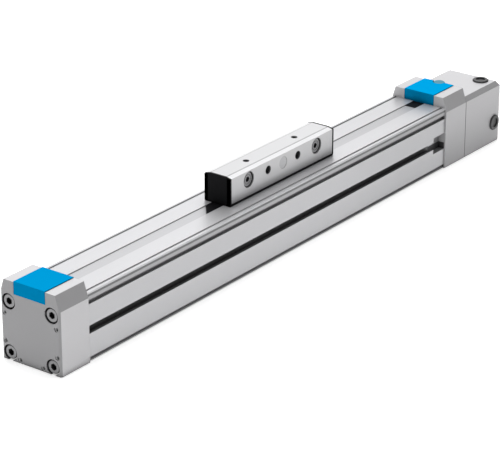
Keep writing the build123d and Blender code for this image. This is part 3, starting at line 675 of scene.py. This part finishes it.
# Steel
class AXIS_OT_steel(bpy.types.Operator):
    """Finishes the screws, discs, bearings and other steel pieces"""

    bl_idname = "axis.steel"
    bl_label = "Steel"

    def execute(self, context):
        colours = context.scene.axis_colours
        screws = finish(
            "plated screws", colours.steel, metallic=0.9, roughness=0.35,
            grain=TURNED_GRAIN, bump=2 * MICRON, patch=0.06, shade=(0.2, 0.85), dark=0.2,
        )
        discs = finish(
            "ground discs", colours.discs, metallic=0.6, roughness=0.35,
            grain=TURNED_GRAIN, bump=2 * MICRON, patch=0.04,
        )
        hard = finish(
            "hardened steel", colours.hard_steel, metallic=1.0, roughness=0.2,
            grain=GROUND_GRAIN, bump=1 * MICRON, patch=0.04,
        )
        # Painted shade and painted reflection: dark teal for the shade in the notch and the blue
        # cover reflected in it.
        pin = finish(
            "pin in painted shade", colours.pin, metallic=0.0, roughness=0.4,
            grain=TURNED_GRAIN, bump=2 * MICRON, patch=0.04, shine=0.05,
        )
        paint(screws, "near_cap_screws", "far_cap_screws", "drive_housing_screws",
              "band_clamp_screws", "slide_clamp_screws", "nut_screws", "hub_clamp_screws")
        paint(pin, "cover_pin")
        paint(discs, "slide_locating_discs", "near_clamp_plate", "far_clamp_plate")
        paint(hard, "guide_rail", "ball_screw", "ball_nut", "lock_nut",
              "float_bearing_outer_ring", "float_bearing_inner_ring",
              "fixed_bearing_outer_rings", "fixed_bearing_inner_rings")
        return {"FINISHED"}


# Cover band
ARCH_STEPS = 60
BAND_EASE = 0.25  # size of the band's eased edges as a share of its thickness


def band_ring(x, z):
    """The band's cross-section at one place, with slightly eased long edges."""
    half = (BAND_HIGH.y - BAND_LOW.y) / 2
    thick = bpy.context.scene.axis_sizes.band_thickness
    ease = BAND_EASE * thick
    outline = (
        (-half, ease), (-half + ease, 0), (half - ease, 0), (half, ease),
        (half, thick - ease), (half - ease, thick), (-half + ease, thick), (-half, thick - ease),
    )
    return [(x, y, z + dz) for y, dz in outline]


def band_height(x):
    """Height of the band's underside: flat, then an even S up to the raised stretch."""
    sizes = bpy.context.scene.axis_sizes
    rise = BAND_HIGH.z - BAND_LOW.z - sizes.band_thickness
    away = abs(x - SLIDE_MIDDLE) - sizes.neck_length / 2
    share = min(max(1 - away / sizes.band_ramp, 0), 1)
    return BAND_LOW.z + rise * share * share * (3 - 2 * share)


class AXIS_OT_cover_band(bpy.types.Operator):
    """Builds the steel cover band: an arch that rides on the slide, and two flat stretches"""

    bl_idname = "axis.cover_band"
    bl_label = "Cover band"

    def execute(self, context):
        sizes = context.scene.axis_sizes
        half_arch = sizes.neck_length / 2 + sizes.band_ramp
        arch_from, arch_to = SLIDE_MIDDLE - half_arch, SLIDE_MIDDLE + half_arch
        # Painted shade: darker towards the far end.
        steel = finish(
            "polished band steel", context.scene.axis_colours.band, metallic=0.5, roughness=0.42,
            grain=BAND_GRAIN, bump=0.2 * MICRON, patch=0.02, uneven=0.03, eased=False,
            along_fade=(0.0, PROFILE_HIGH.x, 0.82),
        )

        def arch(work):
            step = (arch_to - arch_from) / ARCH_STEPS
            places = [arch_from + step * i for i in range(ARCH_STEPS + 1)]
            bridge(work, [band_ring(x, band_height(x)) for x in places])

        arch_piece = link_mesh("band_arch", arch)
        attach(arch_piece, "carriage")
        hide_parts("cover_band")
        for name, fixed_x, moving_x in (
            ("band_near_stretch", BAND_LOW.x, arch_from),
            ("band_far_stretch", BAND_HIGH.x, arch_to),
        ):
            def stretch(work, ends=sorted((fixed_x, moving_x))):
                bridge(work, [band_ring(x, BAND_LOW.z) for x in ends])

            piece = link_mesh(name, stretch)
            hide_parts("cover_band")
            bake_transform(piece)
            paint(steel, name)
        paint(steel, "band_arch")
        return {"FINISHED"}


# Wipers and ribs
WIPER_HALF_WIDTH = 4.35 * MM
WIPER_LEVELS = (PROFILE_TOP - 0.48 * MM, PROFILE_TOP - 0.05 * MM)
RIB_FOOT = SLIDE_LOW.z - 1.4 * MM
RIB_TOP = SLIDE_HIGH.z - 1.0 * MM
RIB_WIDTH = 2.6 * MM
RIB_SLOPE = 0.65 * MM  # how much higher a rib is on its inner side


class AXIS_OT_wipers(bpy.types.Operator):
    """Builds the slanted wipers on the cover band, and the ribs of the slide's end plates"""

    bl_idname = "axis.wipers"
    bl_label = "Band wipers"

    def execute(self, context):
        sizes, colours = context.scene.axis_sizes, context.scene.axis_colours
        rubber = finish(
            "wiper rubber", colours.wipers, metallic=0.0, roughness=0.6,
            grain=MOULDED_GRAIN, bump=4 * MICRON, patch=0.1, shine=0.05,
        )
        moulded = finish(
            "plate ribs", colours.ribs, metallic=0.0, roughness=0.5,
            grain=MOULDED_GRAIN, bump=4 * MICRON, patch=0.1, shine=0.05, shade=(0.0, 0.4),
        )
        for name, start, towards in (
            ("near_slide_wiper", END_PLATE_NEAR, -1), ("far_slide_wiper", END_PLATE_FAR, 1),
        ):
            def wiper(work, start=start, towards=towards):
                half = towards * WIPER_HALF_WIDTH
                outline = (
                    (start, half), (start + towards * sizes.wiper_long_side, half),
                    (start + towards * sizes.wiper_short_side, -half), (start, -half),
                )
                bridge(work, [[(x, y, z) for x, y in outline] for z in WIPER_LEVELS])

            piece = link_mesh(name, wiper)
            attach(piece, "carriage")
            paint(rubber, name)

        def ribs(work):
            outer = SLIDE_HIGH.y
            inner = outer - RIB_WIDTH
            outline = ((inner, RIB_FOOT), (outer, RIB_FOOT), (outer, RIB_TOP),
                       (inner, RIB_TOP + RIB_SLOPE))
            for face in (END_PLATE_NEAR, END_PLATE_FAR - sizes.rib_rise):
                for sign in (-1, 1):
                    bridge(work, [[(x, sign * y, z) for y, z in outline]
                                  for x in (face, face + sizes.rib_rise)])

        piece = link_mesh("slide_plate_ribs", ribs)
        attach(piece, "carriage")
        paint(moulded, "slide_plate_ribs")
        return {"FINISHED"}


# Threads
# A tapped hole: the middle of its mouth, the way inwards, its radius and how deep its thread goes.
Hole = namedtuple("Hole", "mouth inward radius depth")

# Where they stand
CAP_HOLES = ((19.6 * MM, 29.4 * MM), (19.7 * MM, 11.6 * MM), (8.8 * MM, 1.9 * MM))  # across, up
NEAR_FOOT, FAR_FOOT = -222 * MM, 178 * MM
FOOT_HOLES = 8 * MM  # across
FLANGE_MIDDLE = 21 * MM  # height of the screw's axis
FLANGE_HOLES = 16.2 * MM  # from the screw's axis, across and up
SLIDE_TOP_HOLES = 25.5 * MM  # from the middle of the slide, as the next
SLIDE_SIDE_HOLES = 15.75 * MM
SLIDE_SIDE_LEVEL = 55.7 * MM

THREAD_STEPS = 20  # in one turn
THREAD_HEIGHT = 0.2  # share of the hole's radius, as the next
THREAD_PITCH = 0.36
THREAD_HALF_FOOT = 0.45  # half of the ridge's foot as a share of the pitch
THREAD_ROOT = 0.04 * MM  # how deep the ridge sits in the wall


def add_thread(work, hole):
    """A ridge that winds down the wall of a hole."""
    inward = Vector(hole.inward)
    first = inward.orthogonal().normalized()
    second = inward.cross(first)
    pitch = THREAD_PITCH * hole.radius
    half_foot = inward * (THREAD_HALF_FOOT * pitch)
    rings = []
    for i in range(int((hole.depth - pitch) / pitch * THREAD_STEPS) + 1):
        angle = 2 * pi * i / THREAD_STEPS
        out = first * cos(angle) + second * sin(angle)
        middle = Vector(hole.mouth) + inward * (pitch * (0.5 + i / THREAD_STEPS))
        wall = middle + out * (hole.radius + THREAD_ROOT)
        crest = middle + out * (hole.radius - THREAD_HEIGHT * hole.radius)
        rings.append([wall - half_foot, wall + half_foot, crest])
    bridge(work, rings)


class AXIS_OT_threads(bpy.types.Operator):
    """Builds the threads in the tapped holes of the caps, the slide and the motor face"""

    bl_idname = "axis.threads"
    bl_label = "Threads"

    def execute(self, context):
        colours = context.scene.axis_colours
        cut = finish(
            "cut threads", colours.threads, metallic=0.7, roughness=0.3,
            grain=THREAD_GRAIN, bump=2 * MICRON, patch=0.04, shade=(0.0, 0.45),
        )
        # Painted shade: dark threads stand for the shade inside the slide's holes.
        shade_dark_cut = finish(
            "shade-dark threads", colours.shade_dark_threads, metallic=0.5, roughness=0.4,
            grain=THREAD_GRAIN, bump=2 * MICRON, patch=0.04,
        )
        cap_holes = [
            Hole((NEAR_CAP_FACE, sign * y, z), (1, 0, 0), radius=1.5 * MM, depth=2.8 * MM)
            for y, z in CAP_HOLES for sign in (1, -1)
        ]
        near_feet, far_feet = (
            [Hole((x, sign * FOOT_HOLES, 0), (0, 0, 1), radius=2.1 * MM, depth=6.0 * MM)
             for sign in (-1, 1)]
            for x in (NEAR_FOOT, FAR_FOOT)
        )
        flange = [
            Hole((CAD_HIGH.x, y, FLANGE_MIDDLE + z), (-1, 0, 0), radius=1.65 * MM, depth=6.0 * MM)
            for y in (-FLANGE_HOLES, FLANGE_HOLES) for z in (-FLANGE_HOLES, FLANGE_HOLES)
        ]
        slide_top = [
            Hole((SLIDE_MIDDLE + x, 0, SLIDE_HIGH.z), (0, 0, -1), radius=2.1 * MM, depth=2.4 * MM)
            for x in (-SLIDE_TOP_HOLES, SLIDE_TOP_HOLES)
        ]
        slide_sides = [
            Hole((SLIDE_MIDDLE + x, sign * SLIDE_HIGH.y, SLIDE_SIDE_LEVEL), (0, -sign, 0),
                 radius=2.8 * MM, depth=4.4 * MM)
            for x in (-SLIDE_SIDE_HOLES, SLIDE_SIDE_HOLES) for sign in (-1, 1)
        ]
        for name, body, holes, slot, material in (
            ("near_cap_threads", "root", cap_holes + near_feet, "cap_aluminium", cut),
            ("far_end_threads", "root", far_feet + flange, "cap_aluminium", cut),
            ("slide_threads", "carriage", slide_top + slide_sides, "slide_aluminium", shade_dark_cut),
        ):
            def threads(work, holes=holes):
                for hole in holes:
                    add_thread(work, hole)

            piece = link_mesh(name, threads)
            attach(piece, body)
            paint(material, name)
        return {"FINISHED"}


# Panel and registration
STEPS = (
    AXIS_OT_stage, AXIS_OT_aluminium, AXIS_OT_plastics, AXIS_OT_steel, AXIS_OT_cover_band,
    AXIS_OT_wipers, AXIS_OT_threads,
)


class AXIS_PT_pieces(bpy.types.Panel):
    """Lists the operators that dress the axis"""

    bl_label = "Linear axis"
    bl_idname = "AXIS_PT_pieces"
    bl_space_type = "VIEW_3D"
    bl_region_type = "UI"
    bl_category = "Linear axis"

    def draw(self, context):
        for step in STEPS:
            self.layout.operator(step.bl_idname)
        for group in (context.scene.axis_sizes, context.scene.axis_colours):
            for name in group.bl_rna.properties.keys():
                if name not in {"rna_type", "name"}:
                    self.layout.prop(group, name)


CLASSES = (AxisSizes, AxisColours, *STEPS, AXIS_PT_pieces)


def register():
    """Registers the classes and hangs their settings on the scene."""
    for cls in CLASSES:
        bpy.utils.register_class(cls)
    bpy.types.Scene.axis_sizes = PointerProperty(type=AxisSizes)
    bpy.types.Scene.axis_colours = PointerProperty(type=AxisColours)


def unregister():
    """Takes back what register did."""
    del bpy.types.Scene.axis_colours
    del bpy.types.Scene.axis_sizes
    for cls in reversed(CLASSES):
        bpy.utils.unregister_class(cls)


def main():
    """Dresses the axis."""
    register()
    bpy.ops.axis.stage()
    bpy.ops.axis.aluminium()
    bpy.ops.axis.plastics()
    bpy.ops.axis.steel()
    bpy.ops.axis.cover_band()
    bpy.ops.axis.wipers()
    bpy.ops.axis.threads()


if __name__ == "__main__":
    main()
